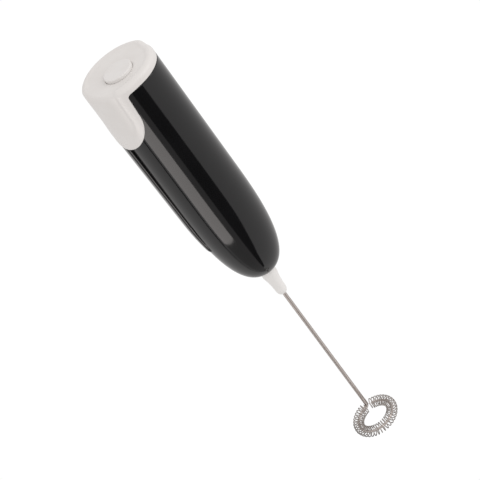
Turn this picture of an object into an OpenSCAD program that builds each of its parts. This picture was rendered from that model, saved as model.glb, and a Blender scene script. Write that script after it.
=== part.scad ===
// Battery milk frother: round handle with two cells side by side, a motor in the
// nose and a rod that ends in a coil-wound ring. Millimetres. +Z runs along the rod's
// axis towards the cap, and the origin lies on that axis in the middle of the grip.

/* [Handle] */
// Outer radius of the handle tube
body_r = 16.6; // [16.4:0.1:20]
// Wall of the handle tube
wall = 1.5; // [1.4:0.1:1.9]
// Length from the cap's top plane to where the nose starts to round
straight_len = 70; // [68:1:90]
// Length of the rounded nose
nose_len = 54.6; // [50:0.2:66]
// Fullness of the nose: 2 is an ellipse, higher is blunter
nose_full = 2.75; // [2.4:0.05:3]
// Depth of the origin below the cap's top plane
grip_depth = 66; // [50:1:80]

/* [Cap and button] */
// Height of the cap's skirt
skirt_h = 4.1; // [3.6:0.1:8]
// Wall and top plate of the cap
cap_t = 1.8; // [1.4:0.1:2.4]
// Radius of the cap's top edge
cap_edge_r = 2.4; // [1:0.1:3]
// How far the cap stands out over the tongue and the battery cover
cap_proud = 1.9; // [1.6:0.1:2.2]
// Half angle of the side tongue at the skirt
tongue_half = 49; // [44:1:54]
// Half width of the tongue's round end, measured along the surface
tongue_end_w = 15.3; // [11:0.1:15.6]
// Depth of the tongue's rounded end below the cap's top plane
tongue_len = 29.5; // [25:0.5:36]
// Radius of the corner between the tongue and the skirt
tongue_fillet = 2; // [0.5:0.1:3]
// Radius of the push button
button_r = 6.65; // [4.5:0.05:8]
// Height of the button above the cap
button_proud = 1.2; // [0.9:0.1:2]
// Travel of the button
button_travel = 1; // [0.6:0.1:1.2]

/* [Battery compartment] */
// Diameter of a cell
cell_d = 14.5; // [12:0.1:14.6]
// Length of a cell with its terminal
cell_len = 50.5; // [44:0.5:52]
// Space between the two cells
cell_gap = 0.3; // [0.2:0.1:0.4]
// Length of a contact spring when it is loaded
spring_len = 6.7; // [5:0.1:8]
// Depth of the cradle's top face below the cap's top plane
cradle_depth = 12; // [11.5:0.5:14]
// Half angle that the battery cover wraps
cover_half = 84; // [80:1:86]
// Depth of the cover's lower end below the cap's top plane
cover_len = 96.5; // [94:0.5:98]
// Travel of the cover
cover_travel = 12; // [8:1:14]

/* [Motor] */
// Diameter of the motor's can
motor_d = 24; // [19:0.5:24]
// Length of the can
motor_len = 25; // [20:1:25]
// Radius of the motor's shaft
shaft_r = 1; // [0.8:0.05:1.2]

/* [Whisk] */
// Radius of the rod
rod_r = 0.9; // [0.6:0.05:1]
// Length of the rod below the nose
rod_len = 99.1; // [70:1:119]
// Largest radius of the white drive cone
cone_r = 3.7; // [3.1:0.05:4.5]
// Length of the drive cone below the nose
cone_len = 16.3; // [14:0.1:21]
// Radius of the ring's core wire circle
ring_r = 9.1; // [7:0.1:11]
// Radius of the winding around the core wire
coil_r = 2.45; // [1.8:0.05:3]
// Radius of the winding's wire
coil_wire_r = 0.28; // [0.2:0.01:0.35]
// Number of turns in the winding
coil_turns = 40; // [30:1:44]
// Tilt of the ring about the line from the rod to its centre
ring_tilt = 3.7; // [0:0.1:6]
// Direction of the ring's centre from the rod
ring_dir = -28; // [-180:1:180]

/* [Fits] */
// Radial clearance of a running shaft
run_gap = 0.03; // [0.02:0.01:0.08]
// Clearance between pieces that slide
slide_gap = 0.1; // [0.08:0.01:0.15]
// Gap at visible joints between covers
seam_gap = 0.15; // [0.1:0.01:0.25]

/* [Hidden] */
$fn = 64;
eps = 0.01;

// Heights, from the cap down to the whisk
z_top = grip_depth;
z_skirt = z_top - skirt_h;
z_nose = z_top - straight_len;
z_tip = z_nose - nose_len;
z_cradle = z_top - cradle_depth;
z_ring = z_tip - rod_len;

// Handle
inner_r = body_r - wall;
nose_steps = 28;
pocket_r = body_r - 0.8;
outline_steps = 120;
front_blend = [304, 346];
back_blend = [78, 104];
cap_cavity_r = inner_r - slide_gap - cap_t + 0.2;
spigot_h = 3.6;
tongue_in_r = body_r + slide_gap;
tongue_steps = 24;
tongue_r = body_r + cap_proud;
tongue_w = tongue_r * tongue_half * PI / 180;
z_tongue_round = z_top - tongue_len + tongue_end_w;

// Cells and cradle
cell_r = cell_d / 2;
cell_y = cell_r + cell_gap / 2;
cell_fit = 0.15;
cell_edge = 0.6;
plate_t = 2;
contact_t = 0.4;
contact_r = 3.6;
bridge_x = contact_r + 1;
nub_r = 2.75;
nub_h = 1;
z_bay_top = z_cradle - plate_t;
bay_len = cell_len + spring_len + 2 * contact_t;
z_bay_low = z_bay_top - bay_len;
z_cradle_low = z_bay_low - plate_t;
cradle_r = inner_r - slide_gap;
z_left_cell = z_bay_top - contact_t - cell_len;
z_right_cell = z_bay_low + contact_t + nub_h;
window_y = cell_y + cell_r + 0.2;
duct_r = 1.9;
duct_x = 11.9;
saddle_x = 1.5;
spring_wire_r = 0.35;
spring_turns = 4;
spring_big_r = 4.6;
spring_small_r = 3.2;

// Cover
cover_dir = 180;
cover_in_r = body_r + slide_gap;
cover_top_r = body_r + cap_proud - 0.05;
cover_taper = 0.0125;
cover_tuck = 1;
cover_steps = 12;
z_cover = z_skirt - seam_gap;
z_cover_low = z_top - cover_len;
z_tuck = z_cover_low + 16.5;
z_pocket = z_cover_low + 12.5;
lip_h = 0.6;
lip_deg = 2.4;
z_lip = z_top - 36;
z_lip_low = z_pocket + 4;
grip_ribs = 5;
grip_step = 2.2;
grip_rib_r = 0.45;
grip_deg = 34;
grip_sink = 0.1;
z_grip = z_top - 13;

// Button and switch
button_x = 2.3;
button_y = -2;
button_hole_r = button_r + slide_gap;
flange_t = 1;
flange_over = 1.1;
z_flange = z_top - cap_t - slide_gap;
button_h = z_top + button_proud - z_flange;
button_edge = 0.4;
stem_r = 2.2;
stem_gap = 0.02;
leaf_t = 0.3;
leaf_w = 5;
z_contact = z_cradle + 3.2;
z_leaf = z_contact + button_travel + 0.05 + leaf_t;
z_leaf_foot = z_cradle + 2;
leaf_foot_x = -10.5;
leaf_foot_half = 2;
leaf_pad_half = 2.6;
leaf_end_x = leaf_foot_x - leaf_foot_half + contact_t + 0.05;
contact_foot_x = 8;
screw_r = 0.8;
screw_head_r = 1.5;
screw_head_h = 0.9;
screw_depth = 1.6;
screw_slot = 0.4;
riser_w = 2;
riser_gap = 0.1;
riser_over = 1.5;
riser_x = leaf_foot_x - leaf_foot_half;
riser_y = leaf_w / 2 + 0.8;
riser_low_x = duct_x - 2.9;

// Motor
motor_r = motor_d / 2;
motor_seat = 0.93 * (nose_len - wall) * nose_drop((motor_r + 0.6) / inner_r);
boss_h = 2.4;
cone_room = 0.6;
z_cone = z_tip + 14.5;
z_motor_low = max(z_nose - motor_seat, z_cone + boss_h + cone_room);
z_motor = z_motor_low + motor_len;
can_t = 0.9;
end_cap_t = 3;
end_cap_over = 0.8;
press_gap = 0.02;
boss_r = 3.6;
bearing_r = 2.6;
magnet_t = 2.4;
magnet_half = 62;
armature_r = motor_r - can_t - magnet_t - 0.5;
armature_len = motor_len - 14.5;
z_armature = z_motor_low + 4.4;
arm_half = 15;
hub_r = 3;
shoe_t = 1.3;
slot_w = 2;
winding_over = 1.6;
winding_half = 52;
commutator_r = 2.7;
commutator_len = 3.5;
z_commutator = z_armature + armature_len + winding_over + 0.8;
brush_w = 1.6;
brush_len = 1.8;
tab_w = 2.6;
tab_h = 2.2;
tab_t = 0.5;
tab_x = 6.5;
tab_hole_r = 0.5;
mount_overlap = 10;
lead_r = 0.55;

// Whisk
nose_hole_r = cone_r + 0.4;
sleeve_r = cone_r - 0.25;
cone_collar = 3.9;
cone_tip_r = rod_r + 1.75;
cone_round = 1.7;
z_shaft_low = z_tip + 8;
z_rod = z_tip + 6;
bend_r = 2;
wire_sides = 12;
ring_step = 8;
wire_stop = 347;
coil_start = 8;
coil_stop = 352;
coil_sides = 4;
coil_steps = 9;
coil_end_r = rod_r + coil_wire_r - 0.02;
ring_centre = ring_r * [cos(ring_dir), sin(ring_dir), 0];
ring_from = bend_r / ring_r * 180 / PI;
core_r = rod_r - 0.03;

// Geometry helpers
function unit(v) = v / norm(v);
function polar(r, a) = [r * cos(a), r * sin(a)];
function hoop(c, n, b, r, sides) =
    [for (k = [0:sides - 1]) let (a = 360 * k / sides) c + r * (cos(a) * n + sin(a) * b)];
function tangent(path, i) = unit(path[min(i + 1, len(path) - 1)] - path[max(i - 1, 0)]);

// Closed skin over a list of rings that all have the same number of points
module skin(rings) {
    n = len(rings[0]);
    m = len(rings);
    walls = [for (i = [0:m - 2]) for (k = [0:n - 1])
        let (a = i * n + k, b = i * n + (k + 1) % n) each [[a, a + n, b + n], [a, b + n, b]]];
    ends = [[for (k = [0:n - 1]) k], [for (k = [n - 1:-1:0]) (m - 1) * n + k]];
    polyhedron(points = [for (ring = rings) each ring], faces = concat(walls, ends));
}

// Round wire along a path, with one normal for each point
module wire(path, normals, r, sides) {
    skin([for (i = [0:len(path) - 1])
        let (t = tangent(path, i), n = unit(normals[i] - (normals[i] * t) * t))
        hoop(path[i], n, cross(t, n), r, sides)]);
}

module tube(r_out, r_in, z, h) {
    translate([0, 0, z]) difference() {
        cylinder(r = r_out, h = h);
        translate([0, 0, -1]) cylinder(r = r_in, h = h + 2);
    }
}

// Part of a ring wall between two angles
module sector(r_in, r_out, z, h, from, sweep) {
    rotate_extrude(angle = sweep, start = from, $fn = 96)
        translate([r_in, z]) square([r_out - r_in, h]);
}

// Outline of the nose in the plane of revolution, from the tube down to the tip
function nose_line(r, len) = [for (i = [0:nose_steps]) let (a = 90 * i / nose_steps)
    [r * pow(cos(a), 2 / nose_full), z_nose - len * pow(sin(a), 2 / nose_full)]];
function nose_drop(share) = pow(1 - pow(share, nose_full), 1 / nose_full);

module body_solid(r, len, top) {
    rotate_extrude($fn = 128) polygon(concat([[0, top], [r, top]], nose_line(r, len)));
}

// The cap's outline: flush with the tube at the front right, and proud of it elsewhere
function ease(t) = let (u = min(1, max(0, t))) u * u * (3 - 2 * u);
function span_share(a, span) = (a - span[0]) / (span[1] - span[0]);
function proud(a) = cap_proud *
    (a < 180 ? ease(span_share(a, back_blend)) : 1 - ease(span_share(a, front_blend)));
function outline(inset) = [for (i = [0:outline_steps - 1]) let (a = 360 * i / outline_steps)
    polar(body_r + proud(a) - inset, a)];
function lifted(line, z) = [for (p = line) [p[0], p[1], z]];

// The tongue's outline, seen square on: arc length w along the surface becomes x
function tongue_x(w) = tongue_r * sin(w / tongue_r * 180 / PI);
function tongue_side(f) = [for (i = [0:5]) let (a = 18 * i)
    [tongue_x(tongue_w + f * (1 - sin(a))), z_skirt - f * (1 - cos(a))]];
function tongue_end() = [for (i = [0:tongue_steps]) let (a = 180 * i / tongue_steps)
    [tongue_x(tongue_end_w * cos(a)), z_tongue_round - tongue_end_w * sin(a)]];
function mirrored(line) = [for (i = [len(line) - 1:-1:0]) [-line[i][0], line[i][1]]];

module tongue_prism(grow) {
    side = tongue_side(tongue_fillet);
    top = [[tongue_x(tongue_w + tongue_fillet), z_top - cap_edge_r]];
    line = concat(top, side, tongue_end(), mirrored(side), mirrored(top));
    rotate([90, 0, 0]) linear_extrude(height = 2 * body_r)
        if (grow > 0) offset(r = grow, $fn = 32) polygon(line);
        else polygon(line);
}

module body_shell() {
    color("#151517") difference() {
        body_solid(body_r, nose_len, z_skirt - slide_gap);
        body_solid_inside();
        cover_pocket();
        battery_window();
        for (side = [-1, 1]) cover_groove(side);
        translate([0, 0, z_tip - 1]) cylinder(r = nose_hole_r, h = nose_len);
    }
}

module body_solid_inside() {
    body_solid(inner_r, nose_len - wall, z_skirt + 1);
}

// Shallow pocket under the cover's lower end, which runs out into the nose
module cover_pocket() {
    sector(pocket_r, body_r + 1, z_tip, z_pocket + 0.3 - z_tip,
        cover_dir - cover_half - 0.5, 2 * cover_half + 1);
}

module battery_window() {
    translate([-body_r, 0, z_bay_low]) rotate([90, 0, 90])
        linear_extrude(height = body_r - saddle_x)
        translate([-window_y, 0]) square([2 * window_y, bay_len]);
}

module cover_groove(side) {
    start = side > 0 ? cover_dir + cover_half - lip_deg - 0.8 : cover_dir - cover_half - 0.4;
    sector(body_r - lip_h - 0.1, body_r + 1, z_pocket, z_lip + 0.3 - z_pocket, start, lip_deg + 1.2);
}

module top_cap() {
    levels = concat([[z_skirt, 0]], [for (i = [0:6]) let (a = 15 * i)
        [z_top - cap_edge_r * (1 - sin(a)), cap_edge_r * (1 - cos(a))]]);
    color("#e6e1df") difference() {
        union() {
            skin([for (level = levels) lifted(outline(level[1]), level[0])]);
            tube(inner_r - slide_gap, cap_cavity_r, z_skirt - spigot_h, spigot_h + eps);
            tongue();
        }
        translate([0, 0, z_skirt - spigot_h - 1])
            cylinder(r = cap_cavity_r, h = skirt_h - cap_t + spigot_h + 1);
        translate([button_x, button_y, z_top - cap_t - 1]) cylinder(r = button_hole_r, h = cap_t + 2);
    }
}

module tongue() {
    difference() {
        intersection() {
            translate([0, 0, z_top - tongue_len - 1])
                linear_extrude(height = tongue_len + 1 - cap_edge_r) polygon(outline(0));
            tongue_prism(0);
        }
        translate([0, 0, z_top - tongue_len - 2]) cylinder(r = tongue_in_r, h = tongue_len + 2 - skirt_h);
        translate([0, 0, z_skirt - eps]) cylinder(r = cap_cavity_r + 1, h = skirt_h);
    }
}

module push_button() {
    color("#eceae8") translate([button_x, button_y, 0]) {
        translate([0, 0, z_flange - eps]) rotate_extrude() {
            square([button_r - button_edge, button_h]);
            square([button_r, button_h - button_edge]);
            translate([button_r - button_edge, button_h - button_edge]) circle(r = button_edge, $fn = 24);
        }
        translate([0, 0, z_flange - flange_t]) cylinder(r = button_r + flange_over, h = flange_t);
        translate([0, -button_y, z_leaf + stem_gap]) cylinder(r = stem_r, h = z_flange - z_leaf - stem_gap);
    }
}

// The cover's outside: a slight taper, then a tuck towards the nose
function cover_r(z) = cover_top_r - cover_taper * (z_cover - z)
    - cover_tuck * pow(max(0, (z_tuck - z) / (z_tuck - z_cover_low)), 2);
function cover_line() = concat([[cover_top_r, z_cover]],
    [for (i = [0:cover_steps]) let (z = z_tuck - (z_tuck - z_cover_low) * i / cover_steps) [cover_r(z), z]],
    [[pocket_r + slide_gap, z_cover_low], [pocket_r + slide_gap, z_pocket],
        [cover_in_r, z_pocket], [cover_in_r, z_cover]]);

module battery_cover() {
    color("#151517") difference() {
        union() {
            rotate_extrude(angle = 2 * cover_half, start = cover_dir - cover_half, $fn = 128)
                polygon(cover_line());
            for (side = [-1, 1]) cover_lip(side);
            for (i = [0:grip_ribs - 1]) cover_rib(z_grip - i * grip_step);
        }
        tongue_prism(seam_gap);
    }
}

module cover_lip(side) {
    start = side > 0 ? cover_dir + cover_half - lip_deg : cover_dir - cover_half;
    sector(body_r - lip_h, cover_in_r + 0.3, z_lip_low, z_lip - z_lip_low, start, lip_deg);
}

module cover_rib(z) {
    rotate_extrude(angle = grip_deg, start = cover_dir - grip_deg / 2, $fn = 96)
        translate([cover_r(z) - grip_sink, z]) circle(r = grip_rib_r, $fn = 24);
}

module cell_seats() {
    for (y = [-cell_y, cell_y]) translate([0, y, z_bay_low])
        cylinder(r = cell_r + cell_fit, h = bay_len);
}

module battery_cradle() {
    color("#dcdad6") difference() {
        union() {
            translate([0, 0, z_cradle_low]) cylinder(r = cradle_r, h = plate_t);
            translate([0, 0, z_bay_top]) cylinder(r = cradle_r, h = plate_t);
            intersection() {
                translate([0, 0, z_cradle_low]) cylinder(r = cradle_r, h = z_cradle - z_cradle_low);
                translate([saddle_x, -body_r, z_cradle_low])
                    cube([body_r, 2 * body_r, z_cradle - z_cradle_low]);
            }
            translate([leaf_foot_x - leaf_foot_half, -leaf_w / 2, z_cradle - eps])
                cube([2 * leaf_foot_half, leaf_w, z_leaf_foot - z_cradle + eps]);
        }
        cell_seats();
        translate([duct_x, 0, z_cradle_low - 1]) cylinder(r = duct_r, h = z_cradle - z_cradle_low + 2);
        riser_slot(riser_x, riser_y);
        translate([leaf_foot_x, 0, z_leaf_foot - screw_depth]) cylinder(r = screw_r, h = screw_depth + 1);
        translate([contact_foot_x, 0, z_cradle - screw_depth]) cylinder(r = screw_r, h = screw_depth + 1);
        riser_slot(riser_low_x, -riser_y - riser_w / 2);
        contact_pocket(z_bay_low, bridge_x + 0.2);
        contact_pocket(z_bay_top - contact_t - 0.1, riser_low_x + contact_t + 0.2);
    }
}

// Flat space under or over a plate of the cradle for its contacts, out to x
module contact_pocket(z, x) {
    half = cell_y + spring_big_r + 0.6;
    translate([-body_r, -half, z]) cube([body_r + x, 2 * half, contact_t + 0.1]);
}

// Slot in the cradle's top plate for a contact's riser, whose corner is at x and y
module riser_slot(x, y) {
    translate([x - riser_gap, y - riser_gap, z_bay_top - 1])
        cube([contact_t + 2 * riser_gap, riser_w + 2 * riser_gap, plate_t + 2]);
}

module positive_tab() {
    color("#c9c6bd") {
        translate([0, cell_y, z_bay_top - contact_t]) cylinder(r = contact_r, h = contact_t);
        translate([riser_x, riser_y, z_bay_top - contact_t])
            cube([-riser_x, riser_w, contact_t]);
        translate([riser_x, riser_y, z_bay_top - contact_t])
            cube([contact_t, riser_w, z_leaf_foot - z_bay_top + contact_t + leaf_t]);
        translate([riser_x, leaf_w / 2 + 0.05, z_leaf_foot])
            cube([contact_t, 1, leaf_t]);
    }
}

module negative_plate() {
    color("#c9c6bd") {
        translate([0, -cell_y, z_bay_top - contact_t]) cylinder(r = spring_big_r + 0.4, h = contact_t);
        translate([0, -riser_y - riser_w / 2, z_bay_top - contact_t])
            cube([riser_low_x + contact_t, riser_w, contact_t]);
        translate([riser_low_x, -riser_y - riser_w / 2, z_bay_top - contact_t])
            cube([contact_t, riser_w, plate_t + contact_t + riser_over]);
    }
}

module contact_spring(y, z_plate, up) {
    steps = 10;
    n = spring_turns * steps;
    span = spring_len - 2 * spring_wire_r;
    path = [for (i = [0:n]) let (a = 360 * i / steps, f = i / n,
        r = spring_big_r + (spring_small_r - spring_big_r) * f)
        [r * cos(a), y + r * sin(a), z_plate + up * (spring_wire_r + span * f)]];
    normals = [for (i = [0:n]) let (a = 360 * i / steps) [cos(a), sin(a), 0]];
    wire(path, normals, spring_wire_r, 6);
}

module negative_spring() {
    color("#b9b6ae") contact_spring(-cell_y, z_bay_top - contact_t, -1);
}

module bridge_plate() {
    color("#c9c6bd") translate([0, 0, z_bay_low]) hull() {
        for (y = [-cell_y, cell_y]) translate([0, y, 0]) cylinder(r = bridge_x, h = contact_t, $fn = 32);
    }
}

module bridge_spring() {
    color("#b9b6ae") contact_spring(cell_y, z_bay_low + contact_t, 1);
}

module cell_jacket(y, z_low) {
    translate([0, y, z_low]) rotate_extrude() {
        square([cell_r - cell_edge, cell_len - nub_h]);
        translate([0, cell_edge]) square([cell_r, cell_len - nub_h - 2 * cell_edge]);
        for (z = [cell_edge, cell_len - nub_h - cell_edge])
            translate([cell_r - cell_edge, z]) circle(r = cell_edge, $fn = 24);
    }
}

module left_cell_jacket() { color("#2f6f8f") cell_jacket(cell_y, z_left_cell); }
module right_cell_jacket() { color("#2f6f8f") cell_jacket(-cell_y, z_right_cell); }
module left_cell_terminal() {
    color("#c8c8c8") translate([0, cell_y, z_left_cell + cell_len - nub_h]) cylinder(r = nub_r, h = nub_h);
}
module right_cell_terminal() {
    color("#c8c8c8") translate([0, -cell_y, z_right_cell - nub_h]) cylinder(r = nub_r, h = nub_h);
}

// Sprung strip: a foot on its post, a ramp, and a pad under the button's stem
module switch_leaf() {
    color("#c58b3a") difference() {
        translate([0, leaf_w / 2, 0]) rotate([90, 0, 0]) linear_extrude(height = leaf_w)
            polygon([[leaf_end_x, z_leaf_foot],
                [leaf_foot_x + leaf_foot_half, z_leaf_foot],
                [button_x - leaf_pad_half, z_leaf - leaf_t], [button_x + leaf_pad_half, z_leaf - leaf_t],
                [button_x + leaf_pad_half, z_leaf], [button_x - leaf_pad_half, z_leaf],
                [leaf_foot_x + leaf_foot_half, z_leaf_foot + leaf_t],
                [leaf_end_x, z_leaf_foot + leaf_t]]);
        translate([leaf_foot_x, 0, z_leaf_foot - 1]) cylinder(r = screw_r, h = 2);
    }
}

module switch_contact() {
    arm_low = z_contact - leaf_t;
    step_x = contact_foot_x - 2;
    color("#c58b3a") difference() {
        translate([0, 2, 0]) rotate([90, 0, 0]) linear_extrude(height = 4)
            polygon([[contact_foot_x + 2, z_cradle], [contact_foot_x + 2, z_cradle + leaf_t],
                [step_x + leaf_t, z_cradle + leaf_t], [step_x + leaf_t, z_contact],
                [button_x - 1, z_contact], [button_x - 1, arm_low], [step_x, arm_low], [step_x, z_cradle]]);
        translate([contact_foot_x, 0, z_cradle - 1]) cylinder(r = screw_r, h = 2);
    }
}

module small_screw(x, z) {
    translate([x, 0, z - screw_depth + 0.1]) cylinder(r = screw_r, h = screw_depth + leaf_t);
    translate([x, 0, z + leaf_t]) difference() {
        cylinder(r = screw_head_r, h = screw_head_h);
        translate([-screw_head_r, -screw_slot / 2, screw_head_h - screw_slot])
            cube([2 * screw_head_r, screw_slot, 1]);
    }
}

module switch_screws() {
    color("#b0b0b4") {
        small_screw(leaf_foot_x, z_leaf_foot);
        small_screw(contact_foot_x, z_cradle);
    }
}

module motor_mount() {
    low = z_motor - mount_overlap;
    color("#cfcdc9") intersection() {
        tube(cradle_r, motor_r + slide_gap, low, z_cradle_low - slide_gap - low);
        body_solid(cradle_r, nose_len - wall - slide_gap, z_cradle_low);
    }
}

module motor_can() {
    color("#b7b9bd") difference() {
        union() {
            translate([0, 0, z_motor_low]) cylinder(r = motor_r, h = motor_len);
            translate([0, 0, z_motor_low - boss_h]) cylinder(r = boss_r, h = boss_h + eps);
        }
        translate([0, 0, z_motor_low + can_t]) cylinder(r = motor_r - can_t, h = motor_len);
        translate([0, 0, z_motor_low - boss_h - 1]) cylinder(r = bearing_r, h = boss_h + 3);
    }
}

module motor_end_cap() {
    color("#e9e7e2") difference() {
        translate([0, 0, z_motor - end_cap_t])
            cylinder(r = motor_r - can_t - press_gap, h = end_cap_t + end_cap_over);
        translate([0, 0, z_motor - end_cap_t - 1]) cylinder(r = bearing_r, h = end_cap_t + 3);
        for (side = [-1, 1]) translate([side * tab_x - tab_t / 2, -tab_w / 2, z_motor - end_cap_t - 1])
            cube([tab_t, tab_w, end_cap_t + 3]);
    }
}

module motor_magnets() {
    color("#3a3a3c") for (a = [0, 180])
        sector(motor_r - can_t - magnet_t, motor_r - can_t - press_gap, z_armature - 1, armature_len + 2,
            a - magnet_half, 2 * magnet_half);
}

module front_bearing() {
    color("#a9825a") tube(bearing_r - press_gap, shaft_r + run_gap, z_motor_low - boss_h, boss_h + can_t);
}

module rear_bearing() {
    color("#a9825a")
        tube(bearing_r - press_gap, shaft_r + run_gap, z_motor - end_cap_t, end_cap_t + end_cap_over);
}

module motor_brushes() {
    color("#4a4038") for (a = [90, 270]) rotate([0, 0, a])
        translate([commutator_r + 0.05, -brush_w / 2, z_commutator + 0.8])
        cube([motor_r - can_t - commutator_r - 0.4, brush_w, brush_len]);
}

module motor_terminals() {
    color("#c9a24a") for (side = [-1, 1])
        translate([side * tab_x - tab_t / 2, -tab_w / 2, z_motor - end_cap_t]) difference() {
            cube([tab_t, tab_w, end_cap_t + tab_h + end_cap_over]);
            translate([-1, tab_w / 2, end_cap_t + tab_h]) rotate([0, 90, 0])
                cylinder(r = tab_hole_r, h = 3, $fn = 24);
        }
}

// Leads run from the switch and the negative plate, down the cradle's duct, to the motor
function smooth(points) = concat([points[0]], [for (i = [0:len(points) - 2])
    each [points[i] * 0.75 + points[i + 1] * 0.25, points[i] * 0.25 + points[i + 1] * 0.75]],
    [points[len(points) - 1]]);
function lead_route(y, start, side) = smooth(smooth([start, start + [0.6, 0, 1.6],
    [duct_x, y, z_cradle + 3.4], [duct_x, y, z_cradle + 1.2], [duct_x, y, z_cradle - 3],
    [duct_x, y, z_cradle_low + 3], [duct_x, y, z_cradle_low + 0.3],
    [duct_x - 1.5, y, z_cradle_low - 2.2], [(duct_x + side) / 2, y * 1.5, z_motor + 3.4],
    [side, y * 1.5, z_motor + tab_h + 2.8], [side, y * 1.5, z_motor + tab_h + 1.4]]));
module lead(y, start, side) {
    path = lead_route(y, start, side);
    wire(path, [for (p = path) [0, 1, 0]], lead_r, 8);
}
module lead_red() { color("#b3261e") lead(0.8, [contact_foot_x + 1.6, 2.6, z_cradle + 0.6], tab_x); }
module lead_black() {
    color("#202022") lead(-0.8, [riser_low_x + contact_t + 0.55, -riser_y, z_cradle + 0.7], -tab_x);
}

module motor_shaft() {
    color("#c4c6ca") translate([0, 0, z_shaft_low]) cylinder(r = shaft_r, h = z_motor + 1.6 - z_shaft_low);
}

// Three poles: a round core with three slots that open through its rim
module armature_core() {
    color("#8a8c90") difference() {
        translate([0, 0, z_armature]) cylinder(r = armature_r, h = armature_len);
        translate([0, 0, z_armature - 1]) cylinder(r = shaft_r, h = armature_len + 2);
        for (a = [0, 120, 240]) {
            sector(hub_r, armature_r - shoe_t, z_armature - 1, armature_len + 2,
                a + arm_half, 120 - 2 * arm_half);
            rotate([0, 0, a + 60]) translate([hub_r + 1, -slot_w / 2, z_armature - 1])
                cube([armature_r, slot_w, armature_len + 2]);
        }
    }
}

module armature_windings() {
    color("#b5622a") for (a = [0, 120, 240]) difference() {
        sector(hub_r + 0.15, armature_r - shoe_t - 0.1, z_armature - winding_over,
            armature_len + 2 * winding_over, a - winding_half, 2 * winding_half);
        sector(hub_r, armature_r, z_armature - 0.05, armature_len + 0.1,
            a - arm_half - 0.5, 2 * arm_half + 1);
    }
}

module commutator() {
    color("#b87333") tube(commutator_r, shaft_r, z_commutator, commutator_len);
}

// Sleeve inside the nose, a collar, then a hollow curve down to a rounded tip
function cone_line() = let (top = z_tip - cone_collar, low = z_tip - cone_len,
    bend = cone_round + 1.2) concat(
    [[0, z_cone], [sleeve_r, z_cone], [sleeve_r, z_tip + 2.5], [cone_r, z_tip + 1.8]],
    [for (i = [0:10]) let (f = i / 10)
        [cone_tip_r + (cone_r - cone_tip_r) * pow(1 - f, 2), top - (top - low - bend) * f]],
    [for (i = [1:5]) let (a = 18 * i)
        [cone_tip_r - cone_round * (1 - cos(a)), low + bend * (1 - sin(a))]],
    [[0, low]]);

module drive_cone() {
    color("#efece8") difference() {
        rotate_extrude() polygon(cone_line());
        translate([0, 0, z_shaft_low]) cylinder(r = shaft_r, h = z_cone - z_shaft_low + 1);
        translate([0, 0, z_tip - cone_len - 1]) cylinder(r = rod_r, h = z_rod - z_tip + cone_len + 1);
    }
}

// The ring's core circle: a is the angle gone round from the rod, h the height above it
function radial(a) = [cos(ring_dir + 180 + a), sin(ring_dir + 180 + a), 0];
function ring_point(a, h) = let (p = ring_centre + ring_r * radial(a),
    across = p * [-sin(ring_dir), cos(ring_dir), 0])
    [p[0], p[1], z_ring + across * tan(ring_tilt) + h];
function bend_path() = [for (i = [0:6]) let (t = 15 * i)
    ring_point(bend_r * (1 - cos(t)) / ring_r * 180 / PI, bend_r * (1 - sin(t)))];

module whisk_wire() {
    angles = [for (a = [ring_from + ring_step:ring_step:wire_stop]) a];
    path = concat([[0, 0, z_ring + bend_r + 0.6]], bend_path(), [for (a = angles) ring_point(a, 0)]);
    normals = concat([for (i = [0:7]) radial(0)], [for (a = angles) radial(a)]);
    color("#a8a19a") {
        translate([0, 0, z_ring + bend_r]) cylinder(r = rod_r, h = z_rod - z_ring - bend_r);
        wire(path, normals, core_r, wire_sides);
    }
}

module whisk_coil() {
    n = coil_turns * coil_steps;
    function around(i) = coil_start + (coil_stop - coil_start) * i / n;
    function wrap(i) = 360 * i / coil_steps;
    function reach(i) = coil_end_r + (coil_r - coil_end_r) * min(1, i / coil_steps, (n - i) / coil_steps);
    function out(i) = cos(wrap(i)) * radial(around(i)) + sin(wrap(i)) * [0, 0, 1];
    color("#b3b0ad") wire([for (i = [0:n]) ring_point(around(i), 0) + reach(i) * out(i)],
        [for (i = [0:n]) out(i)], coil_wire_r, coil_sides);
}

body_shell();
top_cap();
push_button();
battery_cover();
battery_cradle();
switch_leaf();
switch_contact();
switch_screws();
left_cell_jacket();
right_cell_jacket();
left_cell_terminal();
right_cell_terminal();
positive_tab();
negative_plate();
negative_spring();
bridge_plate();
bridge_spring();
motor_mount();
motor_can();
motor_end_cap();
motor_magnets();
front_bearing();
rear_bearing();
motor_brushes();
motor_terminals();
lead_red();
lead_black();
motor_shaft();
armature_core();
armature_windings();
commutator();
drive_cone();
whisk_wire();
whisk_coil();
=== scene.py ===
import bpy
import bmesh
import math
from mathutils import Matrix, Vector


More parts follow.
